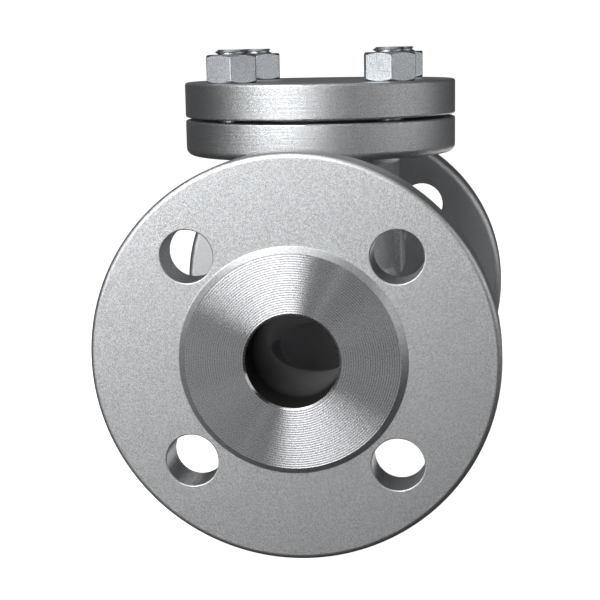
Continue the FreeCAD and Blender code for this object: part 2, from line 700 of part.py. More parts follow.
def retainer_nut(doc):
    """The nut that holds retainer and soft ring on the disc's spigot."""
    nut = hex_nut(doc, "retainer_nut", "dims.retainer_nut_flats", "dims.retainer_nut_height",
                  SPIGOT_HOLE_RADIUS)
    nut.setExpression("Placement.Base.z", f"{AXIS} + {RETAINER_NUT_FOOT}")
    return nut


def closing_spring(doc):
    """A compression spring between disc and boss, its ends ground flat. The wire is eight-sided, with
    the area of a round one, to keep its faces few."""
    spring = doc.addObject("Part::Feature", "closing_spring")
    sheet = doc.getObject("dims")
    middle = number(sheet, SPRING)
    span = number(sheet, f"{BOSS_STEP} - {PLATE_TOP}")
    half_side = math.pi / WIRE_SIDES
    corner = sheet.spring_wire / 2 * math.sqrt(half_side / (math.sin(half_side) * math.cos(half_side)))
    angles = [(2 * n + 1) * half_side for n in range(WIRE_SIDES + 1)]
    section_wire = Part.makePolygon([
        FreeCAD.Vector(middle + corner * math.cos(angle), 0, corner * math.sin(angle)) for angle in angles
    ])
    helix = Part.makeHelix(span / sheet.spring_turns, span, middle)
    coil = Part.Wire(helix).makePipeShell([section_wire], True, True)
    slab = Part.makeCylinder(middle + sheet.spring_wire, span)
    spring.Shape = coil.common(slab)
    spring.Label = "closing_spring"
    spring.Placement.Base = FreeCAD.Vector(0, 0, number(sheet, f"{AXIS} + {PLATE_TOP}"))
    return spring


def guide_bush(doc):
    """The plain bearing in the boss, chamfered inside and out at both ends."""
    body = new_body(doc, "guide_bush")
    outer = f"({BUSH} - dims.seat_clearance)"
    edge = "dims.bush_edge"
    top = f"({BOSS_END} + dims.bush_length)"
    turn(body, "bush", [
        (f"{BUSH_BORE_RADIUS} + {edge}", BOSS_END),
        (f"{outer} - {edge}", BOSS_END),
        (outer, f"{BOSS_END} + {edge}"),
        (outer, f"{top} - {edge}"),
        (f"{outer} - {edge}", top),
        (f"{BUSH_BORE_RADIUS} + {edge}", top),
        (BUSH_BORE_RADIUS, f"{top} - {edge}"),
        (BUSH_BORE_RADIUS, f"{BOSS_END} + {edge}"),
    ])
    return body


def bonnet(doc):
    """The blind cover with its spigot, the stepped guide boss, the stud holes and the vent."""
    body = new_body(doc, "bonnet")
    spigot = f"({RECESS} - dims.seat_clearance)"
    relief = f"({SPINDLE} + dims.guide_relief)"
    turn(body, "cover", [
        ("0", BONNET_TOP),
        ("0", GUIDE_END),
        (relief, GUIDE_END),
        (relief, f"{BOSS_END} + dims.bush_length"),
        (BUSH, f"{BOSS_END} + dims.bush_length"),
        (BUSH, BOSS_END),
        (BOSS_TIP, BOSS_END),
        (BOSS_TIP, BOSS_STEP),
        (BOSS, BOSS_STEP),
        (BOSS, f"{GASKET_TOP} - dims.boss_fillet", "dims.boss_fillet", -1),
        (f"{BOSS} + dims.boss_fillet", GASKET_TOP),
        (spigot, GASKET_TOP),
        (spigot, UNDERSIDE),
        (f"{COVER} - dims.bonnet_lower_edge", UNDERSIDE, "dims.bonnet_lower_edge", 1),
        (COVER, f"{UNDERSIDE} + dims.bonnet_lower_edge"),
        (COVER, f"{BONNET_TOP} - dims.bonnet_top_round", "dims.bonnet_top_round", 1),
        (f"{COVER} - dims.bonnet_top_round", BONNET_TOP),
    ])
    sketch = new_sketch(body, "stud_hole_place", "XY_Plane", BONNET_TOP)
    draw_circle(sketch, STUD_SPOT, STUD_SPOT, "dims.stud_diameter / 2 + dims.bonnet_hole_room")
    hole = drill(body, "stud_hole", sketch, "dims.bonnet_thickness")
    repeat(body, "stud_holes", hole, "Z_Axis", str(len(STUDS)))
    sketch = new_sketch(body, "vent_place", "YZ_Plane")
    draw_circle(sketch, "0", f"{GUIDE_END} - dims.vent_drop", "dims.vent_hole / 2")
    drill(body, "vent", sketch)
    return body


def stud_place(signs, level):
    """Where a piece on one stud's line stands, as expressions along X, Y and Z."""
    return [("x", f"{signs[0]} * {STUD_SPOT}"), ("y", f"{signs[1]} * {STUD_SPOT}"),
            ("z", f"{AXIS} + {level}")]


def stud(doc, count, signs):
    """One stud, chamfered at both ends."""
    body = new_body(doc, f"stud_{count}", raised=False)
    radius = "dims.stud_diameter / 2"
    edge = "dims.stud_end_edge"
    length = f"({NUT_TOP} + dims.stud_proud - {STUD_FOOT})"
    turn(body, f"stud_{count}_rod", [
        ("0", "0"),
        (f"{radius} - {edge}", "0"),
        (radius, edge),
        (radius, f"{length} - {edge}"),
        (f"{radius} - {edge}", length),
        ("0", length),
    ])
    for axis, text in stud_place(signs, STUD_FOOT):
        body.setExpression(f"Placement.Base.{axis}", text)
    return body


def cover_nut(doc, count, signs, angle):
    """One cover nut on the bonnet, turned as it was tightened."""
    nut = hex_nut(doc, f"cover_nut_{count}", "dims.nut_flats", "dims.nut_height", TAPPED_RADIUS)
    nut.Placement.Rotation = FreeCAD.Rotation(FreeCAD.Vector(0, 0, 1), angle)
    for axis, text in stud_place(signs, BONNET_TOP):
        nut.setExpression(f"Placement.Base.{axis}", text)
    return nut


def build_pieces(doc):
    """Every piece of the valve, from the body up to the cover nuts."""
    pieces = [
        valve_body(doc),
        flat_ring(doc, "seat_ring_gasket", f"{POCKET} - dims.seat_clearance", LIP,
                  "dims.seat_gasket_thickness", POCKET_FLOOR),
        seat_ring(doc),
        disc(doc),
        flat_ring(doc, "disc_seal_ring", SEAL, SPIGOT_HOLE_RADIUS, "dims.seal_thickness", SEAT),
        seal_retainer(doc),
        lock_washer(doc),
        retainer_nut(doc),
        closing_spring(doc),
        guide_bush(doc),
        bonnet(doc),
        flat_ring(doc, "bonnet_gasket", f"{RECESS} - dims.seat_clearance", GASKET_HOLE,
                  "dims.gasket_thickness", RECESS_FLOOR),
    ]
    for count, (across, along, angle) in enumerate(STUDS, start=1):
        pieces.append(stud(doc, count, (across, along)))
        pieces.append(cover_nut(doc, count, (across, along), angle))
    return pieces


def check(doc, pieces):
    """Stop on a failed object, an empty or broken shape, or a cut that took nothing away."""
    for item in doc.Objects:
        if "Invalid" in item.State or "Error" in item.State:
            raise RuntimeError(f"{item.Name} failed: {item.State}")
        if item.TypeId in ("PartDesign::Pocket", "PartDesign::Groove", "PartDesign::PolarPattern"):
            if item.BaseFeature.Shape.Volume - item.Shape.Volume < LEAST_CHANGE:
                raise RuntimeError(f"{item.Name} cut nothing")
    for piece in pieces:
        shape = piece.Shape
        if shape.isNull() or not shape.isValid() or len(shape.Solids) != 1:
            raise RuntimeError(f"{piece.Label} is not one valid solid")


def main():
    doc = FreeCAD.newDocument("lift_non_return_valve")
    write_sheet(doc)
    pieces = build_pieces(doc)
    doc.recompute()
    check(doc, pieces)
    os.makedirs("parts", exist_ok=True)
    for piece in pieces:
        piece.Shape.exportStep(os.path.join("parts", f"{piece.Label}.step"))
        print(f"{piece.Label}: {piece.Shape.Volume / 1000:.2f} cm3")


main()
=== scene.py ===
import math

import bmesh
import bpy
from bpy.props import FloatProperty, FloatVectorProperty, PointerProperty
from mathutils import Matrix, Quaternion, Vector


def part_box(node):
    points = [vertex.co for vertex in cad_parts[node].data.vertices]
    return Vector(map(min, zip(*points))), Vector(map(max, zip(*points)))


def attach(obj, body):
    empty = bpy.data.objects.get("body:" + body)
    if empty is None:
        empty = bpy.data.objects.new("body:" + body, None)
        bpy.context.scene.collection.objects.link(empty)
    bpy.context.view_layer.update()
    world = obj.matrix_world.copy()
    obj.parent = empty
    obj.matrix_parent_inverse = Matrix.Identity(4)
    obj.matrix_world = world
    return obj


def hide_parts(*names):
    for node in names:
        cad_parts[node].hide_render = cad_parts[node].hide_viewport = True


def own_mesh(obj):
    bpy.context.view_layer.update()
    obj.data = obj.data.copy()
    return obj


# A flanged lift non-return valve, DN 32: the cast body, its bolted bonnet with studs and nuts, and the
# sprung disc inside. Metres, with the flow along +Y and the bonnet at +Z.

bl_info = {
    "name": "Lift non-return valve",
    "version": (1, 0, 0),
    "blender": (4, 5, 0),
    "location": "View3D > Sidebar > Valve",
    "description": "Gives a flanged lift non-return valve its finishes, threads and studio",
    "category": "Object",
}

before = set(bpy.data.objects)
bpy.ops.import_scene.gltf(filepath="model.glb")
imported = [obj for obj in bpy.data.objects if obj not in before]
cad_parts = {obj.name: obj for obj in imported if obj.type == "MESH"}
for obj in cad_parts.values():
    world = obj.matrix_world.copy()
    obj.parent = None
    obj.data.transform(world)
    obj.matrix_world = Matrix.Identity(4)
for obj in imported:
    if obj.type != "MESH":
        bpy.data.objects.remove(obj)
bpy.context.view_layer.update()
MM = 0.001
FULL_TURN = 2 * math.pi
WHITE = (1, 1, 1, 1)
# Points closer together than this are one point.
WELD = 1e-6
# Edges that bend further than this stay sharp.
SHARP = math.radians(24)
# How far a tool or a bar reaches beyond the finished shape.
OVERRUN = MM
# Flat steps that a full turn is drawn in.
FLANGE_STEPS = 192
NUT_STEPS = 96
STUD_STEPS = 64
THREAD_STEPS = 40
# A metric thread's depth, flat crest, sloped flank and flat root, as shares of its pitch.
THREAD_DEPTH = 0.6134
THREAD_CREST = 1 / 8
THREAD_FLANK = 5 / 16
THREAD_ROOT = 1 / 4
# The numbers of the studs and of their nuts, and how far each nut was turned on, in degrees.
STUDS = (1, 2, 3, 4)
NUT_TURNS = (38, 38, 33, 38)
# A nut's round end face as a share of its flats, and the slope of the chamfer outside that face.
NUT_FACE = 0.95
NUT_SLOPE = math.radians(30)
# What most of a noise pattern's values lie between.
MOST_OF_NOISE = {"From Min": 0.3, "From Max": 0.7}


def length(name, millimetres, text):
    """A size given in millimetres and kept in metres."""
    return FloatProperty(name=name, description=text, default=millimetres * MM, unit="LENGTH",
                         precision=5)


def linear(code):
    """An sRGB hex colour as linear red, green, blue and alpha."""
    shares = [int(code[n:n + 2], 16) / 255 for n in (0, 2, 4)]
    return (*[s / 12.92 if s <= 0.04045 else ((s + 0.055) / 1.055) ** 2.4 for s in shares], 1.0)


def colour(name, code, text):
    """A colour given as an sRGB hex value."""
    return FloatVectorProperty(name=name, description=text, default=linear(code), size=4, min=0, max=1,
                               subtype="COLOR")


def middle(node):
    """The middle of a construction piece's box."""
    low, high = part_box(node)
    return (low + high) / 2


class ValveSizes(bpy.types.PropertyGroup):
    """Sizes of what is added to the construction model."""
    face_to_face: length("Face to face", 180, "Length over the two raised faces")
    flow_level: length("Flow level", 70, "Height of the flow axis")
    bore: length("Bore", 32, "Bore of the two ends")
    bore_edge: length("Bore edge", 0.7, "Chamfer at the mouth of the bore")
    raised_face: length("Raised face", 78, "Diameter of the raised faces")
    raised_height: length("Raised face height", 2, "How far a raised face stands out")
    raised_flank: length("Raised face flank", 2.2, "Width of a raised face's sloped side")
    end_flange: length("End flange", 140, "Outside diameter of the end flanges")
    rim_round: length("Flange rounding", 2, "Rounding of an end flange's front edge")
    groove_pitch: length("Groove pitch", 0.8, "Pitch of the turned grooves on the raised faces")
    groove_skim: length("Groove skim", 0.005, "What the tool takes off between the grooves")
    groove_depth: length("Groove depth", 0.055, "Depth of a groove, round in section")
    thread: length("Stud thread", 12, "Outside diameter of the studs")
    thread_pitch: length("Thread pitch", 1.75, "Pitch of the stud thread")
    thread_end: length("Thread end", 1, "Chamfer on the studs' ends")
    nut_flats: length("Nut flats", 18, "Cover nut across flats")
    nut_round: length("Nut rounding", 0.35, "Rounding of a nut's upright edges")
    nut_sink: length("Nut countersink", 0.5, "Countersink at both ends of a nut's thread")
    nut_hole: length("Nut hole", 12.1, "Hole of a cover nut")
    spring_wire: length("Spring wire", 1.6, "Diameter of the spring's wire")
    spring_middle: length("Spring diameter", 30, "Middle diameter of the spring")
    bowl: length("Bowl", 36, "Room taken as the round bowl under the seat")
    bowl_drop: length("Bowl drop", 9.5, "Depth of the bowl's centre under the flow axis")
    bore_blends: length("Bore blends", 2, "Room taken outside the bore for the blends of the inside")
    chamber: length("Chamber", 50, "Room taken as the chamber above the seat")
    cover: length("Body flange", 104, "Room across the body flange")
    cover_foot: length("Body flange foot", 136.7, "Height from which the body flange is turned")
    pad_face: length("Pad face", 32, "From the upright axis to the face of the pad on the neck")
    pad_level: length("Pad level", 101.5, "Height of the middle of that pad")
    arrow_length: length("Arrow length", 14, "Length of the cast flow arrow")
    arrow_height: length("Arrow height", 9, "Height of the arrow's head")
    arrow_stem: length("Arrow stem", 3.24, "Height of the arrow's stem")
    arrow_rise: length("Arrow rise", 0.7, "How far the arrow stands out of the pad")
    arrow_round: length("Arrow rounding", 0.25, "Rounding of the arrow's outer edges")


class ValveColours(bpy.types.PropertyGroup):
    """Colours of the finishes."""
    casting: colour("Blasted casting", "dcdee0", "Bead-blasted stainless casting")
    casting_dark: colour("Blasted casting, dimples", "a9abad", "Bottoms of the blasting's dimples")
    # The bore's tint is painted light and shade: the pale colour is painted light deep inside, and the
    # dark colour is painted shade towards the mouths of the bore.
    as_cast: colour("As-cast inside", "f2f2f3", "Inside of the casting, left as cast")
    scale: colour("Scale", "343332", "Thin scale near the mouths of the bore")
    face: colour("Turned face", "bcbdc0", "Raised faces, turned")
    turned: colour("Turned steel", "d0d1d3", "Turned stainless")
    fastener: colour("Fasteners", "cdd1d5", "Cold-formed stainless studs and nuts")
    fastener_dark: colour("Fasteners, grain", "a9adb1", "Darker grains of that steel")
    spring: colour("Spring wire", "8f9193", "Drawn spring wire")
    bronze: colour("Bush bronze", "b88a4a", "Turned bronze")
    ptfe: colour("PTFE", "ebeae6", "Soft sealing ring")
    graphite: colour("Graphite", "26272a", "Pressed graphite gaskets")
    floor: colour("Floor", "ffffff", "Plain pale floor")


class ValveStudio(bpy.types.PropertyGroup):
    """Camera and lights."""
    camera_x: length("Camera X", 67.42, "Camera, to the right of the upright axis")
    camera_y: length("Camera Y", -555.0, "Camera, along the flow from the upright axis")
    camera_z: length("Camera Z", 174.0, "Camera, above the floor")
    yaw: FloatProperty(name="Yaw", description="Turn of the view to the right", subtype="ANGLE",
                       default=math.radians(-7.86))
    pitch: FloatProperty(name="Pitch", description="Tilt of the view upwards", subtype="ANGLE",
                         default=math.radians(-10.0))
    roll: FloatProperty(name="Roll", description="Roll of the camera", subtype="ANGLE",
                        default=math.radians(-1.01))
    sensor: FloatProperty(name="Sensor", description="Width of the camera's sensor in millimetres",
                          default=36)
    lens: FloatProperty(name="Lens", description="Focal length in millimetres", default=86.2)
    aim: length("Lights' aim", 85, "Height of the point that all lights face")
    key_power: FloatProperty(name="Key light", default=13.4,
                             description="Large soft light at the front left, in watts")
    fill_power: FloatProperty(name="Fill light", default=3.6,
                              description="Wide dim light low behind the camera, in watts")
    strip_power: FloatProperty(name="Strip light", default=0.15,
                               description="Narrow light at the front right, in watts")
    side_power: FloatProperty(name="Side light", default=3.3,
                              description="Wide light at the right, in watts")
    top_power: FloatProperty(name="Top light", default=2.6,
                             description="Large light overhead, in watts")
    back_power: FloatProperty(name="Back light", default=1.1,
                              description="Small low light behind the valve, in watts")
    ambient: FloatProperty(name="Ambient", default=0.035, description="Strength of the dim room")


def spun(outline, steps, axis="Z", centre=(0, 0, 0)):
    """A turned solid: a closed outline of (radius, level) swung full circle about an upright axis or
    the flow axis."""
    made = bmesh.new()
    upright = axis == "Z"
    swing = Vector((0, 0, 1)) if upright else Vector((0, 1, 0))
    spots = [Vector((radius, 0, level)) if upright else Vector((radius, level, 0))
             for radius, level in outline]
    points = [made.verts.new(spot + Vector(centre)) for spot in spots]
    edges = [made.edges.new((point, points[(n + 1) % len(points)])) for n, point in enumerate(points)]
    bmesh.ops.spin(made, geom=points + edges, cent=centre, axis=swing, angle=FULL_TURN, steps=steps,
                   use_merge=True)
    bmesh.ops.remove_doubles(made, verts=made.verts, dist=WELD)
    bmesh.ops.recalc_face_normals(made, faces=made.faces)
    return made


def arc(centre, radius, start, end, steps):
    """Points along an arc, as (radius, level), with its angles in degrees."""
    angles = [math.radians(start + (end - start) * n / steps) for n in range(steps + 1)]
    return [(centre[0] + radius * math.cos(a), centre[1] + radius * math.sin(a)) for a in angles]


def grow(made, faces, way):
    """Extrudes faces by a vector into a closed solid, and gives the vertices of its far end."""
    grown = bmesh.ops.extrude_face_region(made, geom=faces)["geom"]
    top = [item for item in grown if isinstance(item, bmesh.types.BMVert)]
    bmesh.ops.translate(made, verts=top, vec=way)
    bmesh.ops.recalc_face_normals(made, faces=made.faces)
    return top


def cut_off(made, level, way):
    """Cuts away what lies above a level, or below it where way is -1. The cut stays open."""
    whole = made.verts[:] + made.edges[:] + made.faces[:]
    bmesh.ops.bisect_plane(made, geom=whole, plane_co=(0, 0, level), plane_no=(0, 0, way),
                           clear_outer=True)


def to_object(made, name):
    """A mesh made into an object, with its working copy freed."""
    mesh = bpy.data.meshes.new(name)
    made.to_mesh(mesh)
    made.free()
    piece = bpy.data.objects.new(name, mesh)
    bpy.context.scene.collection.objects.link(piece)
    return piece


def combine(piece, tool, operation):
    """A piece less a tool, joined with it, or kept only inside it. The tool is then gone."""
    modifier = piece.modifiers.new(operation.lower(), "BOOLEAN")
    modifier.object = tool
    modifier.operation = operation
    modifier.solver = "MANIFOLD"
    result = bpy.data.meshes.new_from_object(
        piece.evaluated_get(bpy.context.evaluated_depsgraph_get()))
    piece.modifiers.remove(modifier)
    plain, piece.data = piece.data, result
    result.name = piece.name
    bpy.data.meshes.remove(plain)
    bpy.data.meshes.remove(tool.data)
    if not len(result.polygons):
        raise RuntimeError(f"{piece.name}: nothing left after {operation}")


def joined_copy(node, name):
    """A copy of a construction piece with its loose triangles joined."""
    made = bmesh.new()
    made.from_mesh(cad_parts[node].data)
    bmesh.ops.remove_doubles(made, verts=made.verts, dist=WELD)
    piece = to_object(made, name)
    for layer in ("custom_normal", "sharp_edge", "sharp_face"):
        if layer in piece.data.attributes:
            piece.data.attributes.remove(piece.data.attributes[layer])
    return piece


def dress(piece, body, finishes, node, ridge=lambda edge: False, pick=lambda face: 0):
    """The finished piece: smooth but for its sharp edges and ridges, with its finishes, riding on its
    body in the place of a construction piece. Where it has several finishes, pick numbers a face's."""
    piece.data.materials.clear()
    for finish in finishes:
        piece.data.materials.append(finish)
    made = bmesh.new()
    made.from_mesh(piece.data)
    for face in made.faces:
        face.smooth = True
        face.material_index = pick(face)
    for edge in made.edges:
        edge.smooth = edge.calc_face_angle(0) < SHARP and not ridge(edge)
    made.to_mesh(piece.data)
    made.free()
    weighted = piece.modifiers.new("flat_faces_stay_flat", "WEIGHTED_NORMAL")
    weighted.keep_sharp = True
    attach(piece, body)
    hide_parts(node)


def add_node(tree, kind, values=(), links=(), **settings):
    """One shader node with its settings. Values and links go to its sockets by name or number."""
    made = tree.nodes.new(f"ShaderNode{kind}")
    for key, value in settings.items():
        setattr(made, key, value)
    for socket, value in dict(values).items():
        made.inputs[socket].default_value = value
    for socket, source in dict(links).items():
        tree.links.new(source, made.inputs[socket])
    return made


def new_finish(name, base, metallic, roughness):
    """A finish with its shader, and the piece's own coordinates in metres."""
    finish = bpy.data.materials.new(name)
    finish.use_nodes = True
    tree = finish.node_tree
    tree.nodes.clear()
    shader = add_node(tree, "BsdfPrincipled",
                      {"Base Color": base, "Metallic": metallic, "Roughness": roughness})
    add_node(tree, "OutputMaterial", links={"Surface": shader.outputs["BSDF"]})
    place = add_node(tree, "TexCoord").outputs["Object"]
    return finish, tree, shader, place


def two_tone(tree, shader, pattern, start, first, end, last):
    """Goes from the first colour to the last where a pattern's value goes from start to end."""
    share = add_node(tree, "MapRange", {"From Min": start, "From Max": end}, {"Value": pattern})
    # A mix of colours has its share at socket 0, its colours at 6 and 7, and its result at 2.
    tint = add_node(tree, "Mix", {6: first, 7: last}, {0: share.outputs["Result"]}, data_type="RGBA")
    tree.links.new(tint.outputs[2], shader.inputs["Base Color"])


def rings_about_axis(tree, place, pitch):
    """A wave in rings about the upright axis, one ring for each pitch."""
    level = add_node(tree, "Mapping", {"Scale": (1, 1, 0)}, {"Vector": place})
    radius = add_node(tree, "VectorMath", links={0: level.outputs["Vector"]}, operation="LENGTH")
    phase = add_node(tree, "Math", {1: FULL_TURN / pitch}, {0: radius.outputs["Value"]},
                     operation="MULTIPLY")
    return add_node(tree, "Math", links={0: phase.outputs["Value"]}, operation="SINE").outputs["Value"]


def bead_marks(tree, shader, place, colours, under):
    """What blasting leaves on a surface: dimples a quarter of a millimetre wide, with duller bottoms.
    They are drawn deeper than real ones, so that they show."""
    dimple, depth = 0.26 * MM, 0.1 * MM
    beads = add_node(tree, "TexNoise", {"Scale": 1 / dimple, "Detail": 1.0, "Roughness": 0.6},
                     {"Vector": place}).outputs["Fac"]
    rough = add_node(tree, "MapRange", {**MOST_OF_NOISE, "To Min": 0.5, "To Max": 0.34},
                     {"Value": beads})
    dimples = add_node(tree, "Bump", {"Strength": 1.0, "Distance": depth},
                       {"Height": beads, "Normal": under.outputs["Normal"]})
    two_tone(tree, shader, beads, 0.6, colours.casting, 0.4, colours.casting_dark)
    tree.links.new(rough.outputs["Result"], shader.inputs["Roughness"])
    tree.links.new(dimples.outputs["Normal"], shader.inputs["Normal"])


def blasted_casting(colours):
    """Investment-cast stainless, bead-blasted: a pale, even, silky grey, on a casting that is very
    faintly uneven."""
    swell, rise = 14 * MM, 0.2 * MM
    finish, tree, shader, place = new_finish("bead_blasted_casting", colours.casting, metallic=1.0,
                                             roughness=0.42)
    uneven = add_node(tree, "TexNoise", {"Scale": 1 / swell, "Detail": 2.0}, {"Vector": place})
    swells = add_node(tree, "Bump", {"Strength": 0.1, "Distance": rise},
                      {"Height": uneven.outputs["Fac"]})
    bead_marks(tree, shader, place, colours, swells)
    return finish


def blasted_turning(colours):
    """The rims of bonnet and body flange: turned about the upright axis, then blasted, so that faint
    level streaks still show under the dimples. The streaks are drawn coarser than a tool's marks, so
    that they show."""
    streak_length, streak_height, depth = 25 * MM, 0.7 * MM, 0.05 * MM
    finish, tree, shader, place = new_finish("blasted_turned_rim", colours.casting, metallic=1.0,
                                             roughness=0.42)
    level = add_node(tree, "Mapping",
                     {"Scale": (1 / streak_length, 1 / streak_length, 1 / streak_height)},
                     {"Vector": place})
    streaks = add_node(tree, "TexNoise", {"Scale": 1.0, "Detail": 1.0},
                       {"Vector": level.outputs["Vector"]})
    turning = add_node(tree, "Bump", {"Strength": 1.0, "Distance": depth},
                       {"Height": streaks.outputs["Fac"]})
    bead_marks(tree, shader, place, colours, turning)
    return finish


def as_cast_bore(colours):
    """The inside of the casting, pickled and not blasted: dull and slightly pitted. Its colour is painted
    light
    and shade: pale deep inside as painted light, and darkened by painted shade towards the mouths of the
    bore."""
    pit, depth = 0.8 * MM, 0.08 * MM
    # Out to the first distance the bore has the pale painted light, and from the second distance on it
    # has the full painted shade.
    clean, scaled = 35 * MM, 75 * MM
    finish, tree, shader, place = new_finish("as_cast_bore", colours.as_cast, metallic=1.0,
                                             roughness=0.7)
    pits = add_node(tree, "TexNoise", {"Scale": 1 / pit, "Detail": 4.0, "Roughness": 0.6},
                    {"Vector": place}).outputs["Fac"]
    bump = add_node(tree, "Bump", {"Strength": 0.5, "Distance": depth}, {"Height": pits})
    rough = add_node(tree, "MapRange", {**MOST_OF_NOISE, "To Min": 0.75, "To Max": 0.9},
                     {"Value": pits})
    along = add_node(tree, "SeparateXYZ", links={"Vector": place}).outputs["Y"]
    outwards = add_node(tree, "Math", links={0: along}, operation="ABSOLUTE").outputs["Value"]
    # Painted light deep inside fading into painted shade towards the mouths of the bore.
    two_tone(tree, shader, outwards, clean, colours.as_cast, scaled, colours.scale)
    tree.links.new(rough.outputs["Result"], shader.inputs["Roughness"])
    tree.links.new(bump.outputs["Normal"], shader.inputs["Normal"])
    return finish


def turned_face(colours):
    """The raised faces: turned and not blasted. Besides the real grooves, the tool leaves marks far
    finer than they are, so that light spreads outwards from the flow axis and hardly sideways."""
    wear = 0.5 * MM
    sizes = bpy.context.scene.valve_sizes
    finish, tree, shader, place = new_finish("turned_raised_face", colours.face, metallic=1.0,
                                             roughness=0.27)
    outwards = add_node(tree, "Mapping", {"Location": (0, 0, -sizes.flow_level), "Scale": (1, 0, 1)},
                        {"Vector": place})
    across = add_node(tree, "VectorMath", links={0: outwards.outputs["Vector"]}, operation="NORMALIZE")
    patches = add_node(tree, "TexNoise", {"Scale": 1 / wear, "Detail": 3.0}, {"Vector": place})
    rough = add_node(tree, "MapRange", {**MOST_OF_NOISE, "To Min": 0.24, "To Max": 0.3},
                     {"Value": patches.outputs["Fac"]})
    shader.inputs["Anisotropic"].default_value = 1.0
    tree.links.new(across.outputs["Vector"], shader.inputs["Tangent"])
    tree.links.new(rough.outputs["Result"], shader.inputs["Roughness"])
    return finish


def turned_steel(colours):
    """Stainless turned about the upright axis and lightly blasted: satin, with faint tool rings drawn
    at 0.6 mm so that they still show."""
    ring, ring_depth = 0.6 * MM, 0.01 * MM
    bead, bead_depth = 0.5 * MM, 0.05 * MM
    finish, tree, shader, place = new_finish("turned_satin_steel", colours.turned, metallic=1.0,
                                             roughness=0.38)
    rings = rings_about_axis(tree, place, ring)
    grain = add_node(tree, "TexNoise", {"Scale": 1 / bead, "Detail": 3.0, "Roughness": 0.7},
                     {"Vector": place}).outputs["Fac"]
    rough = add_node(tree, "MapRange", {**MOST_OF_NOISE, "To Min": 0.32, "To Max": 0.46},
                     {"Value": grain})
    ring_bump = add_node(tree, "Bump", {"Strength": 0.2, "Distance": ring_depth}, {"Height": rings})
    bump = add_node(tree, "Bump", {"Strength": 0.5, "Distance": bead_depth},
                    {"Height": grain, "Normal": ring_bump.outputs["Normal"]})
    tree.links.new(rough.outputs["Result"], shader.inputs["Roughness"])
    tree.links.new(bump.outputs["Normal"], shader.inputs["Normal"])
    return finish


def formed_fastener(colours):
    """Cold-formed stainless for studs and nuts: satin and bluish, with a fine even grain."""
    size, depth = 0.4 * MM, 0.07 * MM
    finish, tree, shader, place = new_finish("cold_formed_fastener", colours.fastener, metallic=1.0,
                                             roughness=0.36)
    grain = add_node(tree, "TexNoise", {"Scale": 1 / size, "Detail": 2.0, "Roughness": 0.6},
                     {"Vector": place}).outputs["Fac"]
    rough = add_node(tree, "MapRange", {**MOST_OF_NOISE, "To Min": 0.3, "To Max": 0.42},
                     {"Value": grain})
    bump = add_node(tree, "Bump", {"Strength": 1.0, "Distance": depth}, {"Height": grain})
    two_tone(tree, shader, grain, 0.58, colours.fastener, 0.42, colours.fastener_dark)
    tree.links.new(rough.outputs["Result"], shader.inputs["Roughness"])
    tree.links.new(bump.outputs["Normal"], shader.inputs["Normal"])
    return finish


def drawn_wire(colours):
    """Drawn spring steel: smooth, grey, with a dull shine and hardly any marks."""
    mark, depth = 0.4 * MM, 0.01 * MM
    finish, tree, shader, place = new_finish("drawn_spring_wire", colours.spring, metallic=1.0,
                                             roughness=0.3)
    marks = add_node(tree, "TexNoise", {"Scale": 1 / mark, "Detail": 2.0}, {"Vector": place})
    bump = add_node(tree, "Bump", {"Strength": 0.2, "Distance": depth}, {"Height": marks.outputs["Fac"]})
    tree.links.new(bump.outputs["Normal"], shader.inputs["Normal"])
    return finish


def turned_bronze(colours):
    """Turned bearing bronze: warm and satin, with tool rings drawn at 0.4 mm so that they show."""
    ring, depth = 0.4 * MM, 0.01 * MM
    finish, tree, shader, place = new_finish("turned_bearing_bronze", colours.bronze, metallic=1.0,
                                             roughness=0.34)
    rings = rings_about_axis(tree, place, ring)
    bump = add_node(tree, "Bump", {"Strength": 0.3, "Distance": depth}, {"Height": rings})
    tree.links.new(bump.outputs["Normal"], shader.inputs["Normal"])
    return finish


def virgin_ptfe(colours):
    """Turned PTFE: waxy white, with a soft sheen."""
    cloud = 1.5 * MM
    finish, tree, shader, place = new_finish("turned_ptfe", colours.ptfe, metallic=0.0, roughness=0.42)
    shader.inputs["IOR"].default_value = 1.36
    haze = add_node(tree, "TexNoise", {"Scale": 1 / cloud, "Detail": 2.0}, {"Vector": place})
    rough = add_node(tree, "MapRange", {"To Min": 0.36, "To Max": 0.5}, {"Value": haze.outputs["Fac"]})
    tree.links.new(rough.outputs["Result"], shader.inputs["Roughness"])
    return finish


def pressed_graphite(colours):
    """Pressed graphite sheet: near black, with a faint sheen on its flakes, which are drawn at half a
    millimetre so that they show."""
    flake, depth = 0.5 * MM, 0.03 * MM
    finish, tree, shader, place = new_finish("pressed_graphite", colours.graphite, metallic=0.0,
                                             roughness=0.55)
    flakes = add_node(tree, "TexVoronoi", {"Scale": 1 / flake}, {"Vector": place}).outputs["Distance"]
    rough = add_node(tree, "MapRange", {"To Min": 0.4, "To Max": 0.66}, {"Value": flakes})
    bump = add_node(tree, "Bump", {"Strength": 0.2, "Distance": depth}, {"Height": flakes})
    tree.links.new(rough.outputs["Result"], shader.inputs["Roughness"])
    tree.links.new(bump.outputs["Normal"], shader.inputs["Normal"])
    return finish


FINISH_MAKERS = {
    "casting": blasted_casting, "rim": blasted_turning, "bore": as_cast_bore, "face": turned_face,
    "turned": turned_steel, "fastener": formed_fastener, "wire": drawn_wire, "bronze": turned_bronze,
    "ptfe": virgin_ptfe, "graphite": pressed_graphite,
}
made_finishes = {}


def finish_of(name):
    """A finish by its short name, made the first time it is asked for."""
    if name not in made_finishes:
        made_finishes[name] = FINISH_MAKERS[name](bpy.context.scene.valve_colours)
    return made_finishes[name]


def refinish(node, name):
    """A construction piece that stays as it is and gets its finish."""
    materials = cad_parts[node].data.materials
    materials.clear()
    materials.append(finish_of(name))


def end_tool(outline, sizes, side):
    """A ring about the flow axis that is cut away from one end of the body. Its outline is in
    (radius, distance from the middle of the valve)."""
    made = spun([(radius, side * along) for radius, along in outline], FLANGE_STEPS, "Y",
                (0, 0, sizes.flow_level))
    return to_object(made, "end_tool")


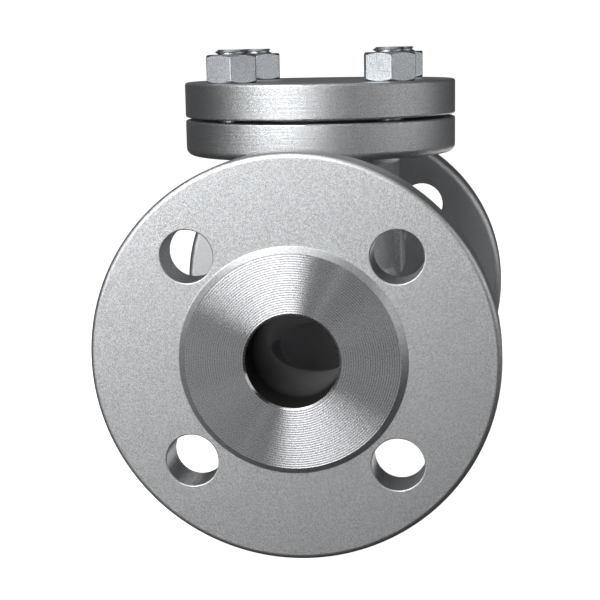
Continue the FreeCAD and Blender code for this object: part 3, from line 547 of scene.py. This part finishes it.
def groove_outline(sizes):
    """The turning tool's path over a raised face: round grooves that meet in sharp ridges, from the
    bore's chamfer to the rim."""
    shares = (0, 0.75, 1, 0.75)
    margin = 4 * sizes.groove_skim
    first = sizes.bore / 2 + sizes.bore_edge + margin
    last = sizes.raised_face / 2 - sizes.raised_flank - margin
    grooves = round((last - first) / sizes.groove_pitch)
    step = (last - first) / grooves / len(shares)
    face = sizes.face_to_face / 2
    path = [(first + n * step, face - sizes.groove_skim - sizes.groove_depth * shares[n % len(shares)])
            for n in range(len(shares) * grooves + 1)]
    return path + [(last, face + OVERRUN), (first, face + OVERRUN)]


def rounding_outline(sizes):
    """What is taken off to round an end flange's front edge."""
    nose = sizes.rim_round
    out = sizes.end_flange / 2 - nose + sizes.groove_skim
    along = sizes.face_to_face / 2 - sizes.raised_height - nose + sizes.groove_skim
    return arc((out, along), nose, 0, 90, steps=6) + [
        (out, along + nose + OVERRUN), (out + nose + OVERRUN, along + nose + OVERRUN),
        (out + nose + OVERRUN, along)]


def flow_arrow(sizes):
    """The cast arrow on the neck's pad that shows the way of the flow, as a solid rooted in the pad."""
    half, head, stem = sizes.arrow_length / 2, sizes.arrow_height / 2, sizes.arrow_stem / 2
    neck = half - head
    outline = [(-half, -stem), (neck, -stem), (neck, -head), (half, 0), (neck, head), (neck, stem),
               (-half, stem)]
    root = sizes.pad_face - sizes.arrow_rise
    made = bmesh.new()
    foot = made.faces.new([made.verts.new((root, along, sizes.pad_level + up)) for along, up in outline])
    top = grow(made, [foot], (2 * sizes.arrow_rise, 0, 0))
    rim = [edge for edge in made.edges if all(vert in top for vert in edge.verts)]
    bmesh.ops.bevel(made, geom=rim, offset=sizes.arrow_round, segments=3, profile=0.5, affect="EDGES",
                    material=-1)
    return to_object(made, "flow_arrow")


def about_flow(spot, sizes):
    """Distance of a spot from the flow axis."""
    return math.hypot(spot.x, spot.z - sizes.flow_level)


CAST_BODY_FINISHES = ("casting", "face", "bore", "rim")


def casting_finish(face, sizes):
    """Which finish of the cast body a face has: blasted outside, turned on the raised faces with the
    chamfer inside them, as cast inside, and turned and blasted on the body flange's rim and top."""
    spot = face.calc_center_median()
    out = about_flow(spot, sizes)
    flat = sizes.raised_face / 2 - sizes.raised_flank
    sunk = sizes.face_to_face / 2 - abs(spot.y)
    if sunk < sizes.bore_edge and sizes.bore / 2 + sizes.bore_edge / 4 < out < flat:
        return "face"
    upright = math.hypot(spot.x, spot.y)
    bowl = (spot - Vector((0, 0, sizes.flow_level - sizes.bowl_drop))).length
    above = spot.z > sizes.flow_level and upright < sizes.chamber / 2
    if above or out < sizes.bore / 2 + sizes.bore_blends or bowl < sizes.bowl / 2:
        return "bore"
    return "rim" if spot.z > sizes.cover_foot and upright < sizes.cover / 2 else "casting"


class VALVE_OT_casting(bpy.types.Operator):
    """The cast body with its turned raised faces and its flow arrow"""
    bl_idname = "valve.casting"
    bl_label = "Cast body"

    def execute(self, context):
        sizes = context.scene.valve_sizes
        piece = joined_copy("valve_body", "cast_body")
        for side in (-1, 1):
            for outline in (groove_outline(sizes), rounding_outline(sizes)):
                combine(piece, end_tool(outline, sizes, side), "DIFFERENCE")
        combine(piece, flow_arrow(sizes), "UNION")
        crest = sizes.face_to_face / 2 - sizes.groove_skim
        flat = sizes.raised_face / 2 - sizes.raised_flank

        def ridge(edge):
            return all(abs(abs(vert.co.y) - crest) < WELD and about_flow(vert.co, sizes) < flat
                       for vert in edge.verts)

        dress(piece, "housing", [finish_of(name) for name in CAST_BODY_FINISHES], "valve_body",
              ridge, lambda face: CAST_BODY_FINISHES.index(casting_finish(face, sizes)))
        return {"FINISHED"}


class VALVE_OT_bonnet(bpy.types.Operator):
    """The turned bonnet and its gasket"""
    bl_idname = "valve.bonnet"
    bl_label = "Bonnet"

    def execute(self, context):
        refinish("bonnet", "rim")
        refinish("bonnet_gasket", "graphite")
        return {"FINISHED"}


def threaded_rod(low, high, radius, pitch, end):
    """A rod with a right-hand thread over its whole length and chamfered ends. Its thread is a zigzag
    line swung about the rod while it climbs. It starts two turns too low, is cut off a little beyond
    the rod's ends, and is kept only inside a chamfered blank a little thicker than the thread."""
    early, spill, clear = 2, 0.2 * MM, 0.1 * MM
    depth = THREAD_DEPTH * pitch
    form = ((0, 0), (THREAD_CREST, 0), (THREAD_CREST + THREAD_FLANK, 1),
            (THREAD_CREST + THREAD_FLANK + THREAD_ROOT, 1))
    turns = math.ceil((high - low) / pitch) + early + 1
    made = bmesh.new()
    points = [made.verts.new((radius - depth * deep, 0, low + (turn - early + share) * pitch))
              for turn in range(turns) for share, deep in form]
    edges = [made.edges.new(pair) for pair in zip(points, points[1:])]
    bmesh.ops.spin(made, geom=points + edges, cent=(0, 0, 0), axis=(0, 0, 1), angle=FULL_TURN,
                   dvec=(0, 0, pitch / THREAD_STEPS), steps=THREAD_STEPS)
    bmesh.ops.remove_doubles(made, verts=made.verts, dist=WELD)
    for level, way in ((low - spill, -1), (high + spill, 1)):
        cut_off(made, level, way)
        rim = [edge for edge in made.edges if edge.is_boundary
               and all(abs(vert.co.z - level) < WELD for vert in edge.verts)]
        bmesh.ops.edgeloop_fill(made, edges=rim)
    bmesh.ops.recalc_face_normals(made, faces=made.faces)
    rod = to_object(made, "threaded_rod")
    blank = [(0, low), (radius - end, low), (radius + clear, low + end + clear),
             (radius + clear, high - end - clear), (radius - end, high), (0, high)]
    combine(rod, to_object(spun(blank, STUD_STEPS), "rod_blank"), "INTERSECT")
    return rod


class VALVE_OT_studs(bpy.types.Operator):
    """The four studs with their real threads"""
    bl_idname = "valve.studs"
    bl_label = "Studs"

    def execute(self, context):
        sizes = context.scene.valve_sizes
        for count in STUDS:
            low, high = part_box(f"stud_{count}")
            rod = threaded_rod(low.z, high.z, sizes.thread / 2, sizes.thread_pitch, sizes.thread_end)
            rod.name = f"threaded_stud_{count}"
            place = middle(f"stud_{count}")
            rod.data.transform(Matrix.Translation((place.x, place.y, 0)))
            dress(rod, "housing", [finish_of("fastener")], f"stud_{count}")
        return {"FINISHED"}


class VALVE_OT_cover_nuts(bpy.types.Operator):
    """The four cover nuts, with rounded corners and chamfered ends"""
    bl_idname = "valve.cover_nuts"
    bl_label = "Cover nuts"

    def execute(self, context):
        sizes = context.scene.valve_sizes
        for count, turn in zip(STUDS, NUT_TURNS):
            low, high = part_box(f"cover_nut_{count}")
            place = middle(f"cover_nut_{count}")
            nut = hexagon_nut(sizes, low.z, high.z)
            nut.name = f"formed_nut_{count}"
            nut.data.transform(Matrix.Translation((place.x, place.y, 0))
                               @ Matrix.Rotation(math.radians(turn), 4, "Z"))
            dress(nut, "housing", [finish_of("fastener")], f"cover_nut_{count}")
        return {"FINISHED"}


def hexagon_nut(sizes, low, high):
    """A hexagon nut: a six-sided bar with rounded edges, kept only inside its turned blank."""
    sides = 6
    corner = sizes.nut_flats / math.sqrt(3)
    made = bmesh.new()
    foot = bmesh.ops.create_circle(made, segments=sides, radius=corner, cap_ends=True)["verts"]
    bmesh.ops.rotate(made, verts=foot, cent=(0, 0, 0),
                     matrix=Matrix.Rotation(FULL_TURN / sides / 2, 3, "Z"))
    bmesh.ops.translate(made, verts=foot, vec=(0, 0, low - OVERRUN))
    grow(made, made.faces[:], (0, 0, high - low + 2 * OVERRUN))
    upright = [edge for edge in made.edges if abs(edge.verts[0].co.z - edge.verts[1].co.z) > WELD]
    bmesh.ops.bevel(made, geom=upright, offset=sizes.nut_round, segments=4, profile=0.5,
                    affect="EDGES", material=-1)
    nut = to_object(made, "nut_bar")
    face = NUT_FACE * sizes.nut_flats / 2
    drop = (corner - face) * math.tan(NUT_SLOPE)
    hole, sink = sizes.nut_hole / 2, sizes.nut_sink
    blank = [(hole, low + sink), (hole + sink, low), (face, low), (corner, low + drop),
             (corner, high - drop), (face, high), (hole + sink, high), (hole, high - sink)]
    combine(nut, to_object(spun(blank, NUT_STEPS), "nut_blank"), "INTERSECT")
    return nut


class VALVE_OT_inside(bpy.types.Operator):
    """The seat, the guide bush and the disc with its soft ring"""
    bl_idname = "valve.inside"
    bl_label = "Seat and disc"

    def execute(self, context):
        for node, name in (
            ("seat_ring", "turned"), ("seat_ring_gasket", "graphite"), ("guide_bush", "bronze"),
            ("disc", "turned"), ("disc_seal_ring", "ptfe"), ("seal_retainer", "turned"),
            ("lock_washer", "fastener"), ("retainer_nut", "fastener"),
        ):
            refinish(node, name)
        return {"FINISHED"}


def round_wire_spring(sizes, low, high):
    """A coil of round wire between two levels, wound a quarter turn at a time. The turns at its ends
    all but touch and are ground flat, and the quarter turns between them share the rest of the height."""
    quarters, quarter_steps, wire_sides = 4, 12, 14
    touching = 1.02 * sizes.spring_wire
    open_quarters = 14
    # How open each quarter turn is, from 0 where the turns touch to 1 where they work.
    openness = (0, 0, 0.1, 0.5) + (1,) * open_quarters + (0.5, 0.1, 0, 0)
    height = high - low
    opening = (height - len(openness) / quarters * touching) / (sum(openness) / quarters)
    made = bmesh.new()
    ring = bmesh.ops.create_circle(made, segments=wire_sides, radius=sizes.spring_wire / 2)["verts"]
    bmesh.ops.rotate(made, verts=ring, cent=(0, 0, 0), matrix=Matrix.Rotation(FULL_TURN / 4, 3, "X"))
    bmesh.ops.translate(made, verts=ring, vec=(sizes.spring_middle / 2, 0, low))
    geom = ring + made.edges[:]
    for share in openness:
        climb = (touching + share * opening) / quarters / quarter_steps
        geom = bmesh.ops.spin(made, geom=geom, cent=(0, 0, 0), axis=(0, 0, 1),
                              angle=FULL_TURN / quarters, dvec=(0, 0, climb),
                              steps=quarter_steps)["geom_last"]
    for level, way in ((low, -1), (high, 1)):
        cut_off(made, level, way)
    bmesh.ops.holes_fill(made, edges=[edge for edge in made.edges if edge.is_boundary], sides=0)
    bmesh.ops.recalc_face_normals(made, faces=made.faces)
    return to_object(made, "round_wire_spring")


class VALVE_OT_spring(bpy.types.Operator):
    """The closing spring, of round wire with closed and ground ends"""
    bl_idname = "valve.spring"
    bl_label = "Closing spring"

    def execute(self, context):
        low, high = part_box("closing_spring")
        piece = round_wire_spring(context.scene.valve_sizes, low.z, high.z)
        dress(piece, "spring_foot", [finish_of("wire")], "closing_spring")
        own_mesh(piece)
        return {"FINISHED"}


def soft_light(name, power, target, azimuth, elevation, away, width, height, roll):
    """A rectangular soft light that faces a target and isn't seen itself. Its azimuth runs from the
    front to the right. Angles are in degrees and lengths in metres."""
    across, up = math.radians(azimuth), math.radians(elevation)
    way = Vector((math.sin(across) * math.cos(up), -math.cos(across) * math.cos(up), math.sin(up)))
    place = target + way * away
    data = bpy.data.lights.new(name, "AREA")
    data.shape = "RECTANGLE"
    data.size, data.size_y, data.energy = width, height, power
    light = bpy.data.objects.new(name, data)
    light.location = place
    light.rotation_mode = "QUATERNION"
    light.rotation_quaternion = ((target - place).to_track_quat("-Z", "Y")
                                 @ Quaternion((0, 0, 1), math.radians(roll)))
    light.visible_camera = False
    bpy.context.scene.collection.objects.link(light)


def light_valve(studio):
    """Six soft lights round the valve. The valve is lit mainly from the front left, and the rest only
    lift its dark sides."""
    target = Vector((0, 0, studio.aim))
    soft_light("key_light", studio.key_power, target, azimuth=-24.9, elevation=33.8, away=1,
               width=0.77, height=1.09, roll=-2.2)
    soft_light("fill_light", studio.fill_power, target, azimuth=-27.4, elevation=-11.3, away=1.6,
               width=1.83, height=1.26, roll=26.6)
    soft_light("strip_light", studio.strip_power, target, azimuth=12, elevation=22.4, away=1.2,
               width=0.07, height=0.15, roll=-4.6)
    soft_light("side_light", studio.side_power, target, azimuth=76.5, elevation=15.9, away=1.2,
               width=1.38, height=0.55, roll=-4.4)
    soft_light("top_light", studio.top_power, target, azimuth=0, elevation=88, away=1.2,
               width=1.3, height=1.1, roll=0)
    soft_light("back_light", studio.back_power, target, azimuth=148, elevation=-20, away=1.2,
               width=0.6, height=0.3, roll=0)


def camera(studio):
    """The camera at the photograph's viewing angle."""
    yaw, pitch, roll = studio.yaw, studio.pitch, studio.roll
    ahead = Vector((math.sin(yaw) * math.cos(pitch), math.cos(yaw) * math.cos(pitch), math.sin(pitch)))
    right = Vector((math.cos(yaw), -math.sin(yaw), 0))
    up = right.cross(ahead)
    across = right * math.cos(roll) + up * math.sin(roll)
    upward = up * math.cos(roll) - right * math.sin(roll)
    data = bpy.data.cameras.new("camera")
    data.lens, data.sensor_width = studio.lens, studio.sensor
    data.clip_start, data.clip_end = 0.01, 30
    view = bpy.data.objects.new("camera", data)
    view.matrix_world = Matrix.Translation((studio.camera_x, studio.camera_y, studio.camera_z)) @ Matrix(
        (across, upward, -ahead)).transposed().to_4x4()
    bpy.context.scene.collection.objects.link(view)
    bpy.context.scene.camera = view


def pale_floor(colours):
    """A wide floor that glows evenly white. It is seen, but throws no light or shade on the valve."""
    made = bmesh.new()
    bmesh.ops.create_circle(made, cap_ends=True, segments=96, radius=12)
    floor = to_object(made, "floor")
    finish, _, shader, _ = new_finish("pale_floor", colours.floor, metallic=0.0, roughness=0.9)
    shader.inputs["Emission Color"].default_value = colours.floor
    shader.inputs["Emission Strength"].default_value = 1.0
    floor.data.materials.append(finish)
    floor.visible_glossy = floor.visible_diffuse = floor.visible_shadow = False


def studio_room(ambient):
    """A room that is seen as white and lights the valve only dimly."""
    room = bpy.data.worlds.new("studio_room")
    room.use_nodes = True
    tree = room.node_tree
    tree.nodes.clear()
    seen = add_node(tree, "Background", {"Color": WHITE, "Strength": 1.0})
    dim = add_node(tree, "Background", {"Color": WHITE, "Strength": ambient})
    ray = add_node(tree, "LightPath")
    mixed = add_node(tree, "MixShader", links={0: ray.outputs["Is Camera Ray"], 1: dim.outputs[0],
                                               2: seen.outputs[0]})
    add_node(tree, "OutputWorld", links={"Surface": mixed.outputs[0]})
    return room


class VALVE_OT_studio(bpy.types.Operator):
    """Pale floor, soft lights and the camera"""
    bl_idname = "valve.studio"
    bl_label = "Studio"

    def execute(self, context):
        scene = context.scene
        pale_floor(scene.valve_colours)
        scene.world = studio_room(scene.valve_studio.ambient)
        light_valve(scene.valve_studio)
        scene.view_settings.view_transform = "Standard"
        camera(scene.valve_studio)
        return {"FINISHED"}


OPERATORS = (VALVE_OT_casting, VALVE_OT_bonnet, VALVE_OT_studs, VALVE_OT_cover_nuts, VALVE_OT_inside,
             VALVE_OT_spring, VALVE_OT_studio)


class VALVE_PT_build(bpy.types.Panel):
    """Lists the steps that dress the valve"""
    bl_label = "Lift non-return valve"
    bl_space_type = "VIEW_3D"
    bl_region_type = "UI"
    bl_category = "Valve"

    def draw(self, context):
        for operator in OPERATORS:
            self.layout.operator(operator.bl_idname)


GROUPS = (("valve_sizes", ValveSizes), ("valve_colours", ValveColours), ("valve_studio", ValveStudio))


def register():
    for name, group in GROUPS:
        bpy.utils.register_class(group)
        setattr(bpy.types.Scene, name, PointerProperty(type=group))
    for operator in OPERATORS:
        bpy.utils.register_class(operator)
    bpy.utils.register_class(VALVE_PT_build)


def unregister():
    bpy.utils.unregister_class(VALVE_PT_build)
    for operator in reversed(OPERATORS):
        bpy.utils.unregister_class(operator)
    for name, group in reversed(GROUPS):
        delattr(bpy.types.Scene, name)
        bpy.utils.unregister_class(group)


def main():
    register()
    for operator in OPERATORS:
        family, name = operator.bl_idname.split(".")
        getattr(getattr(bpy.ops, family), name)()


if __name__ == "__main__":
    main()
